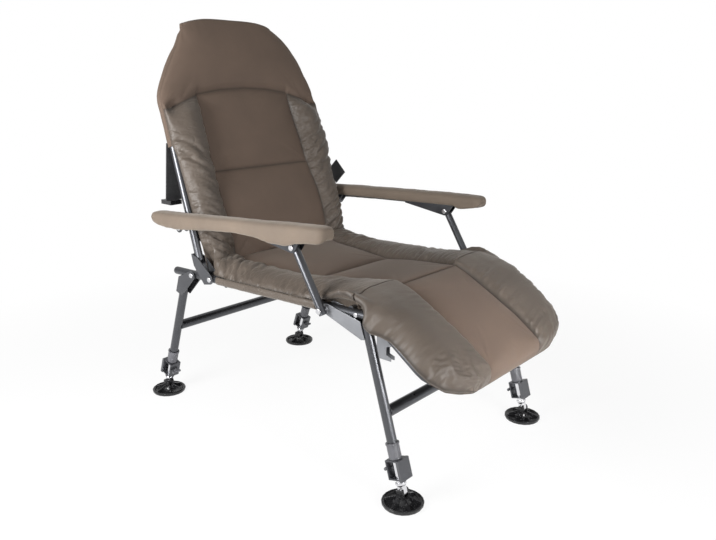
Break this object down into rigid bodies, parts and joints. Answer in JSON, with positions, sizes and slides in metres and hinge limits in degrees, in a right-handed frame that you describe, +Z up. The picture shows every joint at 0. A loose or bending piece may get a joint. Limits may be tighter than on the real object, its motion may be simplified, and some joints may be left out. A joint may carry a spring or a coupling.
{
  "type": "reclining camp chair",
  "caption": "Low reclining padded chair with folding tubular legs, adjustable swivel feet, armrests on a parallelogram linkage and a hinged leg rest",
  "frame": {"origin": "on the ground under the middle of the chair's bounding box", "axes": "+Z up, +Y towards the rear of the chair, the sitter faces -Y, +X to the sitter's left"},
  "size_m": [0.637, 0.984, 1.0023],
  "materials": {
    "frame_paint": "satin dark grey powder coat",
    "bracket_paint": "satin mid grey powder coat",
    "steel": "bright zinc",
    "bright_leg": "bright plated",
    "black_moulding": "glossy moulded",
    "black_canvas": "coarse woven",
    "cushion_fabric": "padded peach-skin polyester"
  },
  "bodies": {
    "seat": {"seat_frame": "frame_paint", "seat_sling": "black_canvas", "seat_cushion": "cushion_fabric", "hinge_rivet_left": "steel", "hinge_rivet_right": "steel", "rear_leg_rivet_left": "steel", "rear_leg_rivet_right": "steel", "front_leg_rivet_left": "steel", "front_leg_rivet_right": "steel", "leg_rest_rivet_left": "steel", "leg_rest_rivet_right": "steel"},
    "back": {"back_frame": "frame_paint", "back_sling": "black_canvas", "back_cushion": "cushion_fabric", "hinge_plate_left": "bracket_paint", "hinge_plate_right": "bracket_paint", "carry_strap": "black_canvas", "strap_buckle": "black_moulding", "strap_end": "black_canvas"},
    "front_legs": {"front_leg_frame": "frame_paint", "front_leg_bracket_left": "bracket_paint", "front_leg_bracket_right": "bracket_paint", "front_collar_left": "black_moulding", "front_collar_right": "black_moulding", "front_lock_box_left": "bracket_paint", "front_lock_box_right": "bracket_paint"},
    "rear_legs": {"rear_leg_frame": "frame_paint", "rear_leg_bracket_left": "bracket_paint", "rear_leg_bracket_right": "bracket_paint", "rear_collar_left": "black_moulding", "rear_collar_right": "black_moulding", "rear_lock_box_left": "bracket_paint", "rear_lock_box_right": "bracket_paint"},
    "leg_rest": {"leg_rest_frame": "frame_paint", "leg_rest_sling": "black_canvas", "leg_rest_cushion": "cushion_fabric"},
    "arm_left": {"arm_pad_left": "cushion_fabric", "arm_channel_left": "frame_paint", "arm_rear_rivet_left": "steel", "arm_front_rivet_left": "steel"},
    "strut_left": {"strut_left": "frame_paint"},
    "catch_left": {"leg_rest_catch_left": "bracket_paint"},
    "front_inner_leg_left": {"front_inner_leg_left": "bright_leg"},
    "front_foot_left": {"front_foot_left": "black_moulding"},
    "front_lever_left": {"front_lock_lever_left": "black_moulding"},
    "rear_inner_leg_left": {"rear_inner_leg_left": "bright_leg"},
    "rear_foot_left": {"rear_foot_left": "black_moulding"},
    "rear_lever_left": {"rear_lock_lever_left": "black_moulding"},
    "arm_right": {"arm_pad_right": "cushion_fabric", "arm_channel_right": "frame_paint", "arm_rear_rivet_right": "steel", "arm_front_rivet_right": "steel"},
    "strut_right": {"strut_right": "frame_paint"},
    "catch_right": {"leg_rest_catch_right": "bracket_paint"},
    "front_inner_leg_right": {"front_inner_leg_right": "bright_leg"},
    "front_foot_right": {"front_foot_right": "black_moulding"},
    "front_lever_right": {"front_lock_lever_right": "black_moulding"},
    "rear_inner_leg_right": {"rear_inner_leg_right": "bright_leg"},
    "rear_foot_right": {"rear_foot_right": "black_moulding"},
    "rear_lever_right": {"rear_lock_lever_right": "black_moulding"}
  },
  "joints": [
    {"name": "recline", "type": "hinge", "parent": "seat", "child": "back", "pos_m": [0, 0.21893, 0.37001], "axis": [1, 0, 0], "range_deg": [-14, 96], "deforming": ["back_cushion", "strap_end"]},
    {"name": "strut_left_swing", "type": "hinge", "parent": "seat", "child": "strut_left", "pos_m": [0.284, -0.17883, 0.3839], "axis": [1, 0, 0], "range_deg": [-14, 96]},
    {"name": "arm_left_swing", "type": "hinge", "parent": "back", "child": "arm_left", "pos_m": [0.284, 0.2949, 0.49398], "axis": [1, 0, 0], "range_deg": [-96, 14]},
    {"name": "strut_right_swing", "type": "hinge", "parent": "seat", "child": "strut_right", "pos_m": [-0.284, -0.17883, 0.3839], "axis": [1, 0, 0], "range_deg": [-14, 96]},
    {"name": "arm_right_swing", "type": "hinge", "parent": "back", "child": "arm_right", "pos_m": [-0.284, 0.2949, 0.49398], "axis": [1, 0, 0], "range_deg": [-96, 14]},
    {"name": "front_legs_fold", "type": "hinge", "parent": "seat", "child": "front_legs", "pos_m": [0, -0.17883, 0.3839], "axis": [1, 0, 0], "range_deg": [0, 80]},
    {"name": "rear_legs_fold", "type": "hinge", "parent": "seat", "child": "rear_legs", "pos_m": [0, 0.29188, 0.36746], "axis": [-1, 0, 0], "range_deg": [0, 105]},
    {"name": "leg_rest_tilt", "type": "hinge", "parent": "seat", "child": "leg_rest", "pos_m": [0, -0.25678, 0.38662], "axis": [-1, 0, 0], "range_deg": [-15, 32], "deforming": ["leg_rest_cushion"]},
    {"name": "catch_left_swing", "type": "hinge", "parent": "seat", "child": "catch_left", "pos_m": [0.185, -0.23653, 0.39342], "axis": [1, 0, 0], "range_deg": [-8, 40]},
    {"name": "catch_right_swing", "type": "hinge", "parent": "seat", "child": "catch_right", "pos_m": [-0.185, -0.23653, 0.39342], "axis": [1, 0, 0], "range_deg": [-8, 40]},
    {"name": "front_leg_extend_left", "type": "slide", "parent": "front_legs", "child": "front_inner_leg_left", "axis": [0, 0.2857, 0.9583], "range_m": [-0.1, 0]},
    {"name": "front_foot_tilt_left", "type": "hinge", "parent": "front_inner_leg_left", "child": "front_foot_left", "pos_m": [0.256, -0.38096, 0.027], "axis": [1, 0, 0], "range_deg": [-20, 20]},
    {"name": "front_lever_pull_left", "type": "slide", "parent": "front_legs", "child": "front_lever_left", "axis": [0, 0.9583, -0.2857], "range_m": [0, 0.006], "stiffness_N_per_m": 400},
    {"name": "front_leg_extend_right", "type": "slide", "parent": "front_legs", "child": "front_inner_leg_right", "axis": [0, 0.2857, 0.9583], "range_m": [-0.1, 0]},
    {"name": "front_foot_tilt_right", "type": "hinge", "parent": "front_inner_leg_right", "child": "front_foot_right", "pos_m": [-0.256, -0.38096, 0.027], "axis": [1, 0, 0], "range_deg": [-20, 20]},
    {"name": "front_lever_pull_right", "type": "slide", "parent": "front_legs", "child": "front_lever_right", "axis": [0, 0.9583, -0.2857], "range_m": [0, 0.006], "stiffness_N_per_m": 400},
    {"name": "rear_leg_extend_left", "type": "slide", "parent": "rear_legs", "child": "rear_inner_leg_left", "axis": [0, -0.3305, 0.9438], "range_m": [-0.1, 0]},
    {"name": "rear_foot_tilt_left", "type": "hinge", "parent": "rear_inner_leg_left", "child": "rear_foot_left", "pos_m": [0.256, 0.44704, 0.027], "axis": [1, 0, 0], "range_deg": [-20, 20]},
    {"name": "rear_lever_pull_left", "type": "slide", "parent": "rear_legs", "child": "rear_lever_left", "axis": [0, -0.9438, -0.3305], "range_m": [0, 0.006], "stiffness_N_per_m": 400},
    {"name": "rear_leg_extend_right", "type": "slide", "parent": "rear_legs", "child": "rear_inner_leg_right", "axis": [0, -0.3305, 0.9438], "range_m": [-0.1, 0]},
    {"name": "rear_foot_tilt_right", "type": "hinge", "parent": "rear_inner_leg_right", "child": "rear_foot_right", "pos_m": [-0.256, 0.44704, 0.027], "axis": [1, 0, 0], "range_deg": [-20, 20]},
    {"name": "rear_lever_pull_right", "type": "slide", "parent": "rear_legs", "child": "rear_lever_right", "axis": [0, -0.9438, -0.3305], "range_m": [0, 0.006], "stiffness_N_per_m": 400}
  ],
  "couplings": [
    {"joint": "strut_left_swing", "follows": "recline", "ratio": 1},
    {"joint": "arm_left_swing", "follows": "recline", "ratio": -1},
    {"joint": "strut_right_swing", "follows": "recline", "ratio": 1},
    {"joint": "arm_right_swing", "follows": "recline", "ratio": -1}
  ]
}
